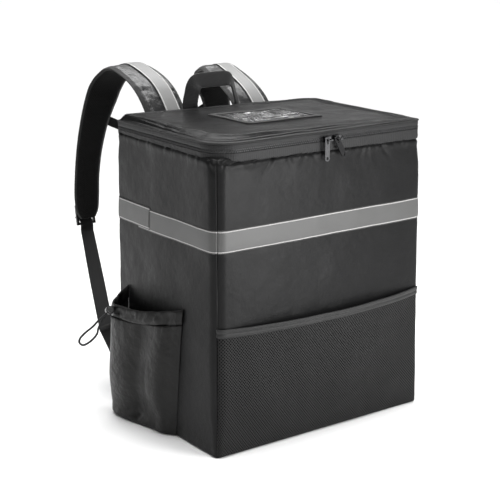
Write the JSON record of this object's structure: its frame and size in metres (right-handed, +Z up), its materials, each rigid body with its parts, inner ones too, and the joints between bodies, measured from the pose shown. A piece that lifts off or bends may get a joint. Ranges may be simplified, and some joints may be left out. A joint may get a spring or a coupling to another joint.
{
  "type": "insulated delivery backpack",
  "caption": "Boxy insulated backpack with a zipped lid, clear lid pocket, mesh front pocket, gathered side pocket, reflective band and padded shoulder straps.",
  "frame": {"origin": "centre of the base, on the surface it stands on", "axes": "+Z up, front of the bag and mesh pocket towards -Y, shoulder straps towards +Y, side pocket towards -X"},
  "size_m": [0.5142, 0.5287, 0.5539],
  "materials": {
    "shell_cloth": "coated weave, slight sheen",
    "mesh": "open knitted mesh",
    "window_film": "clear flexible film",
    "zip_tape": "ribbed tape",
    "zip_coil": "nylon coil",
    "metal": "dark satin plating",
    "reflective": "reflective tape, satin",
    "plastic": "moulded acetal",
    "cord": "round braid",
    "strap_padding": "padded, air mesh on the wearer's side",
    "webbing": "woven webbing"
  },
  "bodies": {
    "bag": {"body_shell": "shell_cloth", "lid_panel": "shell_cloth", "lid_piping": "shell_cloth", "lid_window_frame": "shell_cloth", "lid_window_film": "window_film", "lid_hinge": "shell_cloth", "zip_tape_lower": "zip_tape", "zip_tape_upper": "zip_tape", "zip_chain": "zip_coil", "zip_slider_left": "metal", "zip_slider_right": "metal", "reflective_band": "reflective", "reflective_band_end": "reflective", "mesh_pocket": "mesh", "mesh_pocket_hem": "shell_cloth", "side_pocket": "shell_cloth", "side_pocket_hem": "shell_cloth", "cord_lock_barrel": "plastic", "drawcord": "cord", "strap_pad_left": "strap_padding", "strap_stripe_left": "reflective", "ladder_lock_left": "plastic", "ladder_loop_left": "webbing", "lower_webbing_left": "webbing", "strap_wing_left": "shell_cloth", "chest_webbing_left": "webbing", "strap_pad_right": "strap_padding", "strap_stripe_right": "reflective", "ladder_lock_right": "plastic", "ladder_loop_right": "webbing", "lower_webbing_right": "webbing", "strap_wing_right": "shell_cloth", "chest_webbing_right": "webbing", "chest_buckle": "plastic", "haul_handle": "webbing"},
    "pull_left": {"zip_pull_left": "metal"},
    "pull_right": {"zip_pull_right": "metal"},
    "plunger": {"cord_lock_plunger": "plastic"}
  },
  "joints": [
    {"name": "pull_left_swing", "type": "hinge", "parent": "bag", "child": "pull_left", "pos_m": [0.001, -0.1481, 0.4759], "axis": [-1, 0, 0], "range_deg": [0, 45]},
    {"name": "pull_right_swing", "type": "hinge", "parent": "bag", "child": "pull_right", "pos_m": [0.01908, -0.1481, 0.47566], "axis": [-0.8746, 0, -0.4848], "range_deg": [0, 45]},
    {"name": "plunger_press", "type": "slide", "parent": "bag", "child": "plunger", "axis": [0.3503, 0.8658, -0.3573], "range_m": [0, 0.004], "stiffness_N_per_m": 300, "springref_m": -0.005}
  ]
}
